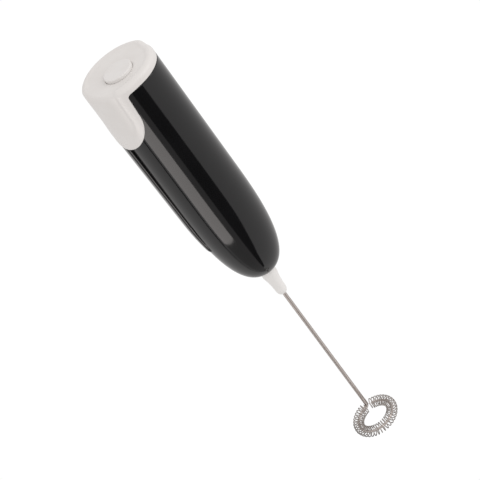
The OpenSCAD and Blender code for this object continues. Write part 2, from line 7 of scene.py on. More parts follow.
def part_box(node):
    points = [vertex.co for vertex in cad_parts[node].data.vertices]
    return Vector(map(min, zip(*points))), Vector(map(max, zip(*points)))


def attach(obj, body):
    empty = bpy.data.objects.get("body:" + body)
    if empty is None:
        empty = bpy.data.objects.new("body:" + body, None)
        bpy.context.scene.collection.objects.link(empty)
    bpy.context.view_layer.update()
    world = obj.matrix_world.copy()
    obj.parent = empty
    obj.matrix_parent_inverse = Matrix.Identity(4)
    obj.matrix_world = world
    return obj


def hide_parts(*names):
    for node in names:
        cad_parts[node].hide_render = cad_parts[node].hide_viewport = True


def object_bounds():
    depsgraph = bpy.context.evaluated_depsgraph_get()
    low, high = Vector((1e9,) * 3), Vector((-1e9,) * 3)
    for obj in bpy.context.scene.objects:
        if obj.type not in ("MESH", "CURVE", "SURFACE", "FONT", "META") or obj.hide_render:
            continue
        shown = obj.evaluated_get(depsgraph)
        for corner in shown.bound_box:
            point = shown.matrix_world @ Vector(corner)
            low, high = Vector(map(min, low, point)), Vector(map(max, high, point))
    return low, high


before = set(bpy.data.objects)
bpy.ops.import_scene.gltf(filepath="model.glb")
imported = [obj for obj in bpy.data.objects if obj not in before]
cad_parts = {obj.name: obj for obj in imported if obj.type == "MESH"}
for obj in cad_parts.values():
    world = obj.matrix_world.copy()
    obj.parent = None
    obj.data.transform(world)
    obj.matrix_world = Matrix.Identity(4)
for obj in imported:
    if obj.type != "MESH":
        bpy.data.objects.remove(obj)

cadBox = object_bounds()
mm = 0.001
creaseAngle = 38                                  # edges sharper than this stay sharp, in degrees
print("frame loaded:", len(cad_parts), "nodes")


def boxInMm(node):
    low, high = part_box(node)
    return low / mm, high / mm


# shared shape helpers, all in millimetres until a piece is made

def ease(t):
    t = min(1.0, max(0.0, t))
    return t * t * (3 - 2 * t)


def spread(low, high, count):
    return [low + (high - low) * i / count for i in range(count + 1)]


def polar(radius, degrees, z):
    angle = math.radians(degrees)
    return Vector((radius * math.cos(angle), radius * math.sin(angle), z))


def edgeDrop(distance, roundness):                # how far a rounded edge falls back near its end
    if distance >= roundness:
        return 0.0
    near = roundness - max(distance, 0.0)
    return roundness - math.sqrt(roundness ** 2 - near ** 2)


def addPiece(name, shape, material, body, replaced):
    points, faces = shape
    mesh = bpy.data.meshes.new(name)
    mesh.from_pydata([tuple(p * mm) for p in points], [], faces)
    work = bmesh.new()
    work.from_mesh(mesh)
    bmesh.ops.remove_doubles(work, verts=work.verts, dist=1e-6)
    bmesh.ops.delete(work, geom=[v for v in work.verts if not v.link_faces], context="VERTS")
    bmesh.ops.recalc_face_normals(work, faces=work.faces)
    work.to_mesh(mesh)
    work.free()
    mesh.shade_smooth()
    mesh.set_sharp_from_angle(angle=math.radians(creaseAngle))
    mesh.materials.append(material)
    piece = bpy.data.objects.new(name, mesh)
    bpy.context.scene.collection.objects.link(piece)
    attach(piece, body)
    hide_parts(*replaced)


def walledShell(outer, inner, kept, wraps):       # two grids of points, walls round each kept patch
    rows, columns = len(outer), len(outer[0])
    spans = columns if wraps else columns - 1

    def there(i, j):
        if wraps:
            j %= columns
        return 0 <= i < rows - 1 and 0 <= j < spans and kept(i, j)

    def at(side, corner):
        i, j = corner
        return (side * rows + i) * columns + j % columns

    faces = []
    for i in range(rows - 1):
        for j in range(spans):
            if not there(i, j):
                continue
            corners = [(i, j), (i, j + 1), (i + 1, j + 1), (i + 1, j)]
            faces.append([at(0, c) for c in corners])
            faces.append([at(1, c) for c in reversed(corners)])
            for k, (di, dj) in enumerate([(-1, 0), (0, 1), (1, 0), (0, -1)]):
                if not there(i + di, j + dj):
                    a, b = corners[k], corners[(k + 1) % 4]
                    faces.append([at(0, b), at(0, a), at(1, a), at(1, b)])
    points = [p for grid in (outer, inner) for row in grid for p in row]
    return points, faces


def revolved(profile, columns, centre=(0, 0), closed=False):
    points = []
    for radius, z in profile:
        for j in range(columns):
            points.append(polar(radius, 360 * j / columns, z) + Vector((centre[0], centre[1], 0)))
    faces = []
    rows = len(profile)
    for i in range(rows if closed else rows - 1):
        for j in range(columns):
            a, b = i * columns, (i + 1) % rows * columns
            k = (j + 1) % columns
            faces.append([a + j, a + k, b + k, b + j])
    return points, faces


def swept(path, normals, radii, sides):           # round wire along a path
    points, faces = [], []
    for i, place in enumerate(path):
        ahead = (path[min(i + 1, len(path) - 1)] - path[max(i - 1, 0)]).normalized()
        normal = (normals[i] - normals[i].dot(ahead) * ahead).normalized()
        across = ahead.cross(normal)
        for k in range(sides):
            turn = 2 * math.pi * k / sides
            points.append(place + radii[i] * (math.cos(turn) * normal + math.sin(turn) * across))
    for i in range(len(path) - 1):
        for k in range(sides):
            a, b, m = i * sides, (i + 1) * sides, (k + 1) % sides
            faces.append([a + k, a + m, b + m, b + k])
    faces.append(list(range(sides - 1, -1, -1)))
    faces.append([(len(path) - 1) * sides + k for k in range(sides)])
    return points, faces


# materials: one small class turns shader maths into plain expressions

class Wire:
    def __init__(self, shader, socket):
        self.shader = shader
        self.socket = socket

    def maths(self, operation, first, second):
        return self.shader.node("ShaderNodeMath", {"operation": operation}, {0: first, 1: second})

    def __add__(self, other):
        return self.maths("ADD", self, other)

    def __radd__(self, other):
        return self.maths("ADD", other, self)

    def __sub__(self, other):
        return self.maths("SUBTRACT", self, other)

    def __rsub__(self, other):
        return self.maths("SUBTRACT", other, self)

    def __mul__(self, other):
        return self.maths("MULTIPLY", self, other)

    def __rmul__(self, other):
        return self.maths("MULTIPLY", other, self)

    def __truediv__(self, other):
        return self.maths("DIVIDE", self, other)

    def __rtruediv__(self, other):
        return self.maths("DIVIDE", other, self)


class Shader:
    def __init__(self, name):
        self.material = bpy.data.materials.new(name)
        self.material.use_nodes = True
        self.tree = self.material.node_tree
        self.surface = self.tree.nodes["Principled BSDF"]
        self.place = self.node("ShaderNodeTexCoord", output="Object")

    def node(self, kind, settings=None, sockets=None, output=0):
        made = self.tree.nodes.new(kind)
        for key, value in (settings or {}).items():
            setattr(made, key, value)
        for key, value in (sockets or {}).items():
            self.feed(made.inputs[key], value)
        return Wire(self, made.outputs[output])

    def feed(self, socket, value):
        if isinstance(value, Wire):
            self.tree.links.new(value.socket, socket)
        else:
            socket.default_value = value

    def put(self, values):                        # surface socket names and what goes into them
        for key, value in values.items():
            self.feed(self.surface.inputs[key], value)

    def stretched(self, x, y, z):
        inputs = {0: self.place, 1: (x, y, z)}
        return self.node("ShaderNodeVectorMath", {"operation": "MULTIPLY"}, inputs)

    def noise(self, scale, detail=2.0, vector=None):
        return self.node("ShaderNodeTexNoise", {}, {
            "Vector": vector or self.place, "Scale": scale, "Detail": detail})

    def cells(self, scale):
        return self.node("ShaderNodeTexVoronoi", {}, {"Vector": self.place, "Scale": scale}, "Distance")

    def bands(self, scale, axis, warp):
        settings = {"bands_direction": axis, "wave_profile": "SIN"}
        return self.node("ShaderNodeTexWave", settings, {
            "Vector": self.place, "Scale": scale, "Distortion": warp, "Detail": 2.0})

    def window(self, value, low, high):           # 0 below low, 1 above high
        return self.node("ShaderNodeMapRange", {"interpolation_type": "SMOOTHSTEP"}, {
            "Value": value, "From Min": low, "From Max": high})

    def mix(self, factor, first, second):
        colours = {6: self.asColour(first), 7: self.asColour(second)}
        return self.node("ShaderNodeMix", {"data_type": "RGBA"}, {0: factor, **colours}, 2)

    def asColour(self, value):
        return value if isinstance(value, Wire) else (*value, 1)

    def height(self, part):                       # x, y or z of the place, in metres
        return self.node("ShaderNodeSeparateXYZ", {}, {0: self.place}, "XYZ".index(part))

    def bump(self, height, depth, strength=1.0):
        inputs = {"Strength": strength, "Distance": depth, "Height": height}
        self.put({"Normal": self.node("ShaderNodeBump", {}, inputs)})


def moulded(name, look):                          # plastic: soft mottle, fine grain, light rubs
    shader = Shader(name)
    mottle = shader.window(shader.noise(look["mottle"], 3.0), 0.3, 0.7)
    grain = shader.noise(look["grain"], 2.0)
    rubs = shader.noise(look["rubs"], 4.0, shader.stretched(1, 1, 0.15))
    unevenness = 0.10 * look["uneven"] * (rubs - 0.5) + 0.04 * (grain - 0.5)
    shader.put({
        "Base Color": shader.mix(mottle, look["colour"], look["shade"]),
        "Roughness": look["roughness"] + unevenness,
    })
    shader.bump(grain + 0.5 * rubs, look["depth"])
    return shader.material


def drawnMetal(name, look):                       # wire, strip or tube: streaks along its length
    shader = Shader(name)
    streaks = shader.noise(look["scale"], 4.0, shader.stretched(*look["stretch"]))
    patches = shader.window(shader.noise(look["scale"] * 0.12, 3.0), 0.35, 0.7)
    tone = shader.mix(streaks, look["colour"], look["shade"])
    shader.put({
        "Base Color": shader.mix(patches * 0.5, tone, look["dull"]),
        "Metallic": 1.0,
        "Roughness": look["roughness"] + 0.18 * (streaks - 0.5) + 0.06 * patches,
        "Specular Tint": (*look.get("rim", (1, 1, 1)), 1),
    })
    shader.bump(streaks, look["depth"])
    return shader.material


def pressedPowder(name, look):                    # ferrite, bronze or carbon pressed from powder
    shader = Shader(name)
    grains = shader.cells(look["scale"])
    pores = shader.window(shader.noise(look["scale"] * 0.6, 3.0), 0.35, 0.62)
    tone = shader.mix(grains, look["colour"], look["shade"])
    shader.put({
        "Base Color": shader.mix(pores, look["pore"], tone),
        "Metallic": look["metal"],
        "Roughness": look["roughness"] - 0.15 * pores,
    })
    shader.bump(grains + pores, look["depth"])
    return shader.material


def layered(name, look):                          # stacked sheets or wound wire: bands and gaps
    shader = Shader(name)
    bands = shader.bands(look["scale"], look["axis"], look["warp"])
    drift = shader.noise(look["scale"] * 0.4, 3.0)
    tone = shader.mix(drift, look["colour"], look["shade"])
    shader.put({
        "Base Color": shader.mix(bands, look["gap"], tone),
        "Metallic": look["metal"],
        "Roughness": look["roughness"] + 0.2 * (1 - bands),
    })
    shader.bump(bands, look["depth"])
    return shader.material


def cellWrap(name, look):                         # printed foil round a cell: dark, plain band
    shader = Shader(name)
    height = shader.height("Z") / mm
    band = shader.window(height, look["bandLow"], look["bandLow"] + 0.3)
    top = shader.window(height, look["bandHigh"], look["bandHigh"] + 0.3)
    flake = shader.noise(5200.0, 2.0)
    tone = shader.mix(band * (1 - top), look["sleeve"], look["band"])
    shader.put({
        "Base Color": shader.mix(flake * 0.25, tone, look["glint"]),
        "Metallic": 0.35 * band * (1 - top),
        "Roughness": 0.28 + 0.14 * (flake - 0.5),
    })
    shader.bump(flake, 0.00001)
    return shader.material


finishes = {}
plastics = {
    "black_gloss": dict(colour=(0.0052, 0.005, 0.0056), shade=(0.0038, 0.0037, 0.0042),
                        mottle=60.0, grain=1400.0, rubs=220.0, uneven=0.5, roughness=0.085,
                        depth=0.0000015),
    "white_gloss": dict(colour=(0.76, 0.735, 0.715), shade=(0.74, 0.712, 0.69), mottle=90.0,
                        grain=1800.0, rubs=300.0, uneven=1.0, roughness=0.34, depth=0.000004),
    "button_white": dict(colour=(0.765, 0.745, 0.73), shade=(0.75, 0.725, 0.705), mottle=120.0,
                         grain=2400.0, rubs=380.0, uneven=1.0, roughness=0.38, depth=0.000005),
    "cradle_plastic": dict(colour=(0.66, 0.64, 0.61), shade=(0.61, 0.59, 0.56), mottle=140.0,
                           grain=3000.0, rubs=420.0, uneven=1.0, roughness=0.5, depth=0.00001),
    "end_cap_plastic": dict(colour=(0.74, 0.72, 0.67), shade=(0.69, 0.66, 0.61), mottle=200.0,
                            grain=2600.0, rubs=500.0, uneven=1.0, roughness=0.45, depth=0.00001),
    "cone_white": dict(colour=(0.84, 0.82, 0.80), shade=(0.82, 0.80, 0.78), mottle=160.0,
                       grain=2600.0, rubs=500.0, uneven=1.0, roughness=0.4, depth=0.000006),
    "red_sleeve": dict(colour=(0.46, 0.022, 0.016), shade=(0.38, 0.016, 0.012), mottle=300.0,
                       grain=5000.0, rubs=900.0, uneven=1.0, roughness=0.42, depth=0.000008),
    "black_sleeve": dict(colour=(0.016, 0.016, 0.018), shade=(0.011, 0.011, 0.012), mottle=300.0,
                         grain=5000.0, rubs=900.0, uneven=1.0, roughness=0.45, depth=0.000008),
}
for slotName, look in plastics.items():
    finishes[slotName] = moulded(slotName, look)

alongRod = (1, 1, 0.04)
metals = {
    "bronze_strip": dict(colour=(0.62, 0.36, 0.13), shade=(0.52, 0.29, 0.10),
                         dull=(0.40, 0.22, 0.09), scale=4200.0, stretch=(0.05, 1, 1),
                         roughness=0.30, depth=0.000004),
    "screw_steel": dict(colour=(0.60, 0.60, 0.62), shade=(0.50, 0.50, 0.52),
                        dull=(0.36, 0.36, 0.38), scale=5200.0, stretch=(1, 1, 1), roughness=0.30,
                        depth=0.000006),
    "nickel": dict(colour=(0.66, 0.63, 0.57), shade=(0.58, 0.55, 0.50), dull=(0.44, 0.42, 0.38),
                   scale=4600.0, stretch=(1, 0.06, 1), roughness=0.26, depth=0.000004),
    "spring_wire": dict(colour=(0.60, 0.58, 0.55), shade=(0.46, 0.45, 0.43),
                        dull=(0.34, 0.33, 0.31), scale=6000.0, stretch=(1, 1, 0.3),
                        roughness=0.27, depth=0.000004),
    "motor_steel": dict(colour=(0.56, 0.57, 0.58), shade=(0.47, 0.48, 0.50),
                        dull=(0.36, 0.36, 0.37), scale=3000.0, stretch=alongRod, roughness=0.30,
                        depth=0.000006),
    "brass_tab": dict(colour=(0.72, 0.51, 0.20), shade=(0.62, 0.43, 0.16),
                      dull=(0.46, 0.31, 0.12), scale=4800.0, stretch=(1, 1, 0.06), roughness=0.30,
                      depth=0.000004),
    "shaft_steel": dict(colour=(0.62, 0.62, 0.63), shade=(0.52, 0.52, 0.53),
                        dull=(0.42, 0.42, 0.43), scale=5200.0, stretch=(0.1, 0.1, 1),
                        roughness=0.20, depth=0.000003),
    "copper": dict(colour=(0.72, 0.36, 0.20), shade=(0.60, 0.28, 0.15), dull=(0.40, 0.19, 0.11),
                   scale=5200.0, stretch=(0.1, 0.1, 1), roughness=0.26, depth=0.000004),
    "stainless_rod": dict(colour=(0.66, 0.60, 0.565), shade=(0.61, 0.55, 0.515),
                          dull=(0.55, 0.495, 0.46), rim=(0.10, 0.09, 0.085), scale=5200.0,
                          stretch=alongRod, roughness=0.3, depth=0.000003),
    "stainless_coil": dict(colour=(0.62, 0.58, 0.55), shade=(0.46, 0.43, 0.41),
                           dull=(0.34, 0.31, 0.29), rim=(0.10, 0.09, 0.085), scale=6400.0,
                           stretch=(1, 1, 0.5), roughness=0.22, depth=0.000003),
}
for slotName, look in metals.items():
    finishes[slotName] = drawnMetal(slotName, look)

powders = {
    "ferrite": dict(colour=(0.045, 0.044, 0.046), shade=(0.075, 0.073, 0.075),
                    pore=(0.02, 0.02, 0.021), scale=3400.0, metal=0.15, roughness=0.68,
                    depth=0.00002),
    "sintered_bronze": dict(colour=(0.42, 0.27, 0.13), shade=(0.52, 0.35, 0.18),
                            pore=(0.12, 0.07, 0.035), scale=5200.0, metal=0.8, roughness=0.58,
                            depth=0.00002),
    "carbon": dict(colour=(0.055, 0.045, 0.038), shade=(0.11, 0.08, 0.055),
                   pore=(0.018, 0.016, 0.015), scale=6000.0, metal=0.2, roughness=0.62,
                   depth=0.000012),
}
for slotName, look in powders.items():
    finishes[slotName] = pressedPowder(slotName, look)

stacks = {
    "laminations": dict(colour=(0.34, 0.34, 0.35), shade=(0.26, 0.26, 0.27),
                        gap=(0.07, 0.06, 0.05), scale=640.0, axis="Z", warp=0.0, metal=0.9,
                        roughness=0.36, depth=0.00003),
    "enamelled_copper": dict(colour=(0.55, 0.20, 0.07), shade=(0.66, 0.27, 0.09),
                             gap=(0.14, 0.045, 0.02), scale=900.0, axis="DIAGONAL", warp=1.4,
                             metal=0.75, roughness=0.30, depth=0.00006),
}
for slotName, look in stacks.items():
    finishes[slotName] = layered(slotName, look)

jacketLow, jacketHigh = boxInMm("left_cell_jacket")
finishes["cell_jacket"] = cellWrap("cell_jacket", dict(
    bandLow=jacketLow.z + 9.0, bandHigh=jacketHigh.z - 13.0, sleeve=(0.018, 0.03, 0.045),
    band=(0.03, 0.22, 0.34), glint=(0.20, 0.34, 0.42)))

kept = {
    "cradle_plastic": ["battery_cradle", "motor_mount"],
    "bronze_strip": ["switch_leaf", "switch_contact"],
    "screw_steel": ["switch_screws"],
    "cell_jacket": ["left_cell_jacket", "right_cell_jacket"],
    "nickel": ["left_cell_terminal", "right_cell_terminal", "positive_tab", "negative_plate",
               "bridge_plate"],
    "spring_wire": ["negative_spring", "bridge_spring"],
    "motor_steel": ["motor_can"],
    "end_cap_plastic": ["motor_end_cap"],
    "ferrite": ["motor_magnets"],
    "sintered_bronze": ["front_bearing", "rear_bearing"],
    "carbon": ["motor_brushes"],
    "brass_tab": ["motor_terminals"],
    "red_sleeve": ["lead_red"],
    "black_sleeve": ["lead_black"],
    "shaft_steel": ["motor_shaft"],
    "laminations": ["armature_core"],
    "enamelled_copper": ["armature_windings"],
    "copper": ["commutator"],
}
for slotName, nodeNames in kept.items():
    for nodeName in nodeNames:
        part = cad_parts[nodeName]
        for place in part.material_slots:
            place.material = finishes[slotName]
print("materials made:", len(finishes))


# handle: a round tube whose nose closes to a small hole for the drive cone

capHigh = boxInMm("top_cap")[1]
shellHigh = boxInMm("body_shell")[1]
coverLow, coverHigh = boxInMm("battery_cover")
handleRadiusMm = round(shellHigh.x, 1)
handle = {
    "radius": handleRadiusMm,
    "wall": 1.5,
    "top": shellHigh.z,
    "topRound": 0.3,
    "straight": 70,                               # from the cap's top down to where the nose starts
    "noseLength": 54.6,
    "fullness": 2.75,
    "holeRadius": 4.1,
    "pocketRadius": handleRadiusMm - 0.8,        # under the cover's lower end
    "window": (-6, 52),                           # heights between which the cells drop in
    "windowHalf": 63.5,
    "coverHalf": 84,
    "lip": 0.6,
    "lipDegrees": 2.4,
    "lipDepth": 36,
    "skirtGap": 0.1,
    "pocketRise": 12.5,                           # pocket's upper end above the cover's lower edge
    "seam": 0.4,                                  # degrees between the cover and its recess
    "seamHeight": 0.3,
    "noseRows": 56,
}
noseTop = capHigh.z - handle["straight"]
fullness = handle["fullness"]
skirtLow = shellHigh.z + handle["skirtGap"]       # lower edge of the cap's skirt
pocketTop = coverLow.z + handle["pocketRise"]
lipTop = capHigh.z - handle["lipDepth"]


def noseAngle(z):
    share = max(0.0, (noseTop - z) / handle["noseLength"])
    return math.asin(min(1.0, share ** (fullness / 2)))


def nosePoint(radius, length, angle):
    power = 2 / fullness
    return radius * math.cos(angle) ** power, noseTop - length * math.sin(angle) ** power


def handleRows():
    step = 0.03
    seam, count = handle["seamHeight"], handle["noseRows"]
    heights = [handle["top"], handle["top"] - handle["topRound"]]
    heights += spread(handle["top"] - 2, noseTop, 16)
    for z in (*handle["window"], lipTop + seam, pocketTop + seam, pocketTop):
        heights += [z + step, z - step]
    last = math.acos(((handle["holeRadius"] + 0.5) / handle["radius"]) ** (fullness / 2))
    for turn in spread(0, last, count)[1:]:
        heights.append(nosePoint(handle["radius"], handle["noseLength"], turn)[1])
    return sorted(set(heights), reverse=True)


def handleColumns():
    angles = set(spread(0, 357.5, 143))
    half, step = handle["coverHalf"], 0.04
    seam = handle["seam"]
    for away in (half + seam + 0.1, half + seam, half - handle["lipDegrees"] - 2 * seam):
        for edge in (180 - away, 180 + away):
            angles |= {edge - step, edge + step}
    angles |= {180 - handle["windowHalf"], 180 + handle["windowHalf"]}
    return sorted(angles)


def handleRadius(degrees, z):
    radius = nosePoint(handle["radius"], handle["noseLength"], noseAngle(z))[0]
    away = abs(degrees - 180)
    half, seam, rise = handle["coverHalf"], handle["seam"], handle["seamHeight"]
    if away < half + seam + 0.1 and z < pocketTop + rise:
        radius = min(radius, handle["pocketRadius"])
    inner = half - handle["lipDegrees"] - 2 * seam
    if inner < away < half + seam and pocketTop < z < lipTop + rise:
        radius = min(radius, handle["radius"] - handle["lip"] - 0.1)
    return radius


def handleShape():
    rows, columns = handleRows(), handleColumns()
    innerRadius = handle["radius"] - handle["wall"]
    innerLength = handle["noseLength"] - handle["wall"]
    outer, inner = [], []
    for z in rows:
        r, low = nosePoint(innerRadius, innerLength, noseAngle(z))
        low = z if z > noseTop else low
        topRound = edgeDrop(handle["top"] - z, handle["topRound"])
        outer.append([polar(handleRadius(a, z) - topRound, a, z) for a in columns])
        inner.append([polar(max(r, handle["holeRadius"] + 0.3), a, low) for a in columns])
    tipHigh, tipLow = inner[-1][0].z, outer[-1][0].z
    hole = handle["holeRadius"]
    for radius, fall in ((hole + 0.2, 0.06), (hole + 0.06, 0.12), (hole, 0.3)):
        outer.append([polar(radius, a, tipLow + fall * 0.6 - 0.05) for a in columns])
        inner.append([polar(hole + 0.1, a, tipHigh - fall * 0.2) for a in columns])

    def present(i, j):
        if i >= len(rows) - 1:
            return True
        z = (rows[i] + rows[i + 1]) / 2
        low, high = handle["window"]
        away = abs(columns[j] + 0.01 - 180)
        return not (low < z < high and away < handle["windowHalf"])

    return walledShell(outer, inner, present, True)


addPiece("handle_shell", handleShape(), finishes["black_gloss"], "handle",
         ["body_shell"])
print("handle made")


# cap: a dished top, a rounded edge, and a tongue that runs down one side

cap = {
    "proud": 1.9,
    "frontBlend": (304, 346),
    "backBlend": (78, 104),
    "edge": 2.4,
    "plate": 1.8,
    "cavity": 13.4,
    "tongueMiddle": 270,
    "tongueHalf": 49,
    "tongueEnd": 15.3,
    "tongueLength": 29.5,
    "fillet": 2.0,
    "tongueInner": handleRadiusMm + 0.1,
    "band": 4.0,                                  # raised border along the tongue
    "rimBand": 3.3,                               # raised border round the top
    "recess": 0.32,
    "slope": 1.5,
    "bevel": 0.35,
}
buttonLow, buttonHigh = boxInMm("push_button")
button = {
    "centre": ((buttonLow.x + buttonHigh.x) / 2, (buttonLow.y + buttonHigh.y) / 2),
    "radius": 6.65,
    "flange": 1.1,
    "flangeThick": 1.0,
    "stem": 2.2,                                  # over the switch strip, on the middle line
    "gap": 0.1,
    "edge": 0.45,
    "dish": 0.12,
}
tongueRadius = handle["radius"] + cap["proud"]
tongueW = tongueRadius * math.radians(cap["tongueHalf"])
roundTop = capHigh.z - cap["tongueLength"] + cap["tongueEnd"]
filletZ = skirtLow - cap["fillet"]
filletW = tongueW + cap["fillet"]


def capRadius(degrees):
    degrees %= 360
    if degrees < 180:
        low, high = cap["backBlend"]
        return handle["radius"] + cap["proud"] * ease((degrees - low) / (high - low))
    low, high = cap["frontBlend"]
    return handle["radius"] + cap["proud"] * (1 - ease((degrees - low) / (high - low)))


def tongueWidth(z, grow=0.0):                     # half width of the tongue along the surface
    end = cap["tongueEnd"]
    if z >= filletZ:
        inset = cap["fillet"] - grow
        return filletW - math.sqrt(max(0.0, inset ** 2 - min(z - filletZ, inset) ** 2))
    if z >= roundTop:
        return end + (tongueW - end) * (z - roundTop) / (filletZ - roundTop) + grow
    return math.sqrt(max(0.0, (end + grow) ** 2 - (roundTop - z) ** 2))


def tongueDepth(w, z):                            # distance inside the cap's lower border
    w = abs(w)
    if w >= filletW:
        return z - skirtLow
    if z >= filletZ:
        return math.hypot(filletW - w, z - filletZ) - cap["fillet"]
    if z >= roundTop:
        return tongueWidth(z) - w
    return cap["tongueEnd"] - math.hypot(w, roundTop - z)


def tongueColumns():
    near = [0.006, 0.014, 0.026, 0.045]
    shares = [0] + near + spread(0.075, 1.925, 62) + [2 - n for n in reversed(near)] + [2]
    return [s - 1 for s in shares]


def capShape():
    across = tongueColumns()
    half = math.degrees(filletW / tongueRadius)
    middle = cap["tongueMiddle"]
    sideAngles = spread(middle + half, middle + 360 - half, 100)[1:-1]
    angles = [middle + u * half for u in across] + sideAngles
    inTongue = len(across)
    hole = button["radius"] + button["gap"]
    centre = Vector((*button["centre"], 0))
    top = capHigh.z

    def bandShare(w, rimGap):                     # 0 on the raised border, 1 on the recessed middle
        flow = (tongueW - cap["band"] + cap["slope"] / 2 - abs(w)) / cap["slope"]
        rim = (rimGap - cap["rimBand"] + cap["slope"] / 2) / cap["slope"]
        return max(ease(flow), ease(rim))

    outer, inner = [], []

    def addRow(place):
        outer.append([place(k, a)[0] for k, a in enumerate(angles)])
        inner.append([place(k, a)[1] for k, a in enumerate(angles)])

    def arc(a):                                   # distance of a column from the tongue's middle
        return math.radians((a - middle + 180) % 360 - 180) * tongueRadius

    def topPoint(share, lift):
        def place(k, a):
            edge = polar(capRadius(a) - cap["edge"], a, 0)
            start = centre + polar(hole, a, 0)
            spot = start.lerp(edge, share)
            rimGap = capRadius(a) - spot.length
            drop = cap["recess"] * bandShare(arc(a), rimGap)
            inside = centre + polar(hole, a, 0)
            inside = inside.lerp(polar(cap["cavity"], a, 0), share)
            under = Vector((inside.x, inside.y, top - cap["plate"]))
            return Vector((spot.x, spot.y, top - drop + lift)), under
        return place

    addRow(topPoint(0.0, -0.25))
    addRow(topPoint(0.02, -0.06))
    for share in [0.05] + spread(0.1, 1, 26):
        addRow(topPoint(share, 0.0))

    def edgePoint(turn):
        def place(k, a):
            sweep = math.radians(turn)
            drop = cap["recess"] * bandShare(arc(a), cap["edge"] * (1 - math.sin(sweep)))
            radius = capRadius(a) - cap["edge"] + (cap["edge"] - drop) * math.sin(sweep)
            z = top - cap["edge"] + (cap["edge"] - drop) * math.cos(sweep)
            return polar(radius, a, z), polar(cap["cavity"], a, top - cap["plate"] - 0.012 * turn)
        return place

    for turn in spread(0, 90, 9)[1:]:
        addRow(edgePoint(turn))

    def sidePoint(z, innerRadius):
        def place(k, a):
            w = arc(a)
            if k < inTongue and z < skirtLow:
                w = across[k] * tongueWidth(z)
                a = middle + math.degrees(w / tongueRadius)
            depth = tongueDepth(w, z)
            share = bandShare(w, 0) * ease((depth - cap["band"] + cap["slope"] / 2) / cap["slope"])
            drop = edgeDrop(depth, cap["bevel"]) + cap["recess"] * share
            return polar(capRadius(a) - drop, a, z), polar(innerRadius, a, z)
        return place

    for lift in (0.75, 0.5, 0.3, 0.14, 0.05):
        addRow(sidePoint(skirtLow + lift, cap["cavity"]))
    addRow(sidePoint(skirtLow, cap["cavity"]))
    skirtRow = len(outer) - 1
    heights = [filletZ + cap["fillet"] * math.cos(math.radians(t)) for t in spread(8, 90, 9)]
    heights += spread(filletZ, roundTop, 12)[1:]
    for z in heights:
        addRow(sidePoint(z, cap["tongueInner"]))

    def endPoint(v):
        def place(k, a):
            if k >= inTongue:
                return polar(capRadius(a), a, skirtLow), polar(cap["tongueInner"], a, skirtLow)
            u, end = across[k], cap["tongueEnd"]
            w = end * u * math.sqrt(1 - v * v / 2)
            z = roundTop - end * v * math.sqrt(1 - u * u / 2)
            a = middle + math.degrees(w / tongueRadius)
            depth = tongueDepth(w, z)
            share = ease((depth - cap["band"] + cap["slope"] / 2) / cap["slope"])
            drop = edgeDrop(depth, cap["bevel"]) + cap["recess"] * share
            return polar(capRadius(a) - drop, a, z), polar(cap["tongueInner"], a, z)
        return place

    for v in spread(0, 0.95, 30)[1:] + [0.965, 0.978, 0.988, 0.995, 1]:
        addRow(endPoint(v))

    def present(i, j):
        return i < skirtRow or j < inTongue - 1

    return walledShell(outer, inner, present, True)


addPiece("cap", capShape(), finishes["white_gloss"], "handle", ["top_cap"])
print("cap made")


# push button: a shallow dish with a rounded rim, a flange below and a stem

def buttonShape():
    radius, edge = button["radius"], button["edge"]
    high, low = buttonHigh.z, buttonLow.z
    flangeTop = capHigh.z - cap["plate"] - 0.1
    profile = [(0, high - button["dish"])]
    for r in spread(0.8, radius - 1, 8):
        profile += [(r, high - button["dish"] * (1 - ease(r / (radius - 1))))]
    for turn in spread(0, math.pi / 2, 7):
        profile += [(radius - edge * (1 - math.sin(turn)), high - edge * (1 - math.cos(turn)))]
    profile += [(radius, flangeTop), (radius + button["flange"], flangeTop)]
    under = flangeTop - button["flangeThick"]
    profile += [(radius + button["flange"], under), (0, under)]
    points, faces = revolved(profile, 96, button["centre"])
    stem = button["stem"]
    rounded = [(0, under + 0.2), (stem, under + 0.2)]
    rounded += [(stem, low + 0.2), (stem - 0.2, low), (0, low)]
    stemPoints, stemFaces = revolved(rounded, 40, (button["centre"][0], 0))
    faces += [[len(points) + k for k in face] for face in stemFaces]
    return points + stemPoints, faces


addPiece("button", buttonShape(), finishes["button_white"], "button",
         ["push_button"])
print("button made")


# battery cover: a long curved door, tucked in at its lower end, with finger ribs

cover = {
    "topRadius": handle["radius"] + cap["proud"] - 0.05,
    "taper": 0.0125,
    "tuck": 1.0,
    "tuckFrom": coverLow.z + 16.5,
    "inner": handle["radius"] + 0.1,
    "gap": 0.15,
    "bevel": 0.3,
    "sideRound": 1.4,                             # rounding along the two long sides
    "ribs": 5,
    "ribStep": 2.2,
    "ribRadius": 0.45,
    "ribSink": 0.1,
    "ribHalf": 17,
    "ribTop": capHigh.z - 13,
}


def coverRadius(z):
    radius = cover["topRadius"] - cover["taper"] * (coverHigh.z - z)
    into = max(0.0, (cover["tuckFrom"] - z) / (cover["tuckFrom"] - coverLow.z))
    return radius - cover["tuck"] * into ** 2


def ribHeight(degrees, z):
    fade = ease((cover["ribHalf"] - abs(degrees - 180)) / 1.5)
    for k in range(cover["ribs"]):
        off = abs(z - (cover["ribTop"] - k * cover["ribStep"]))
        if off < cover["ribRadius"]:
            return fade * max(0.0, math.sqrt(cover["ribRadius"] ** 2 - off ** 2) - cover["ribSink"])
    return 0.0


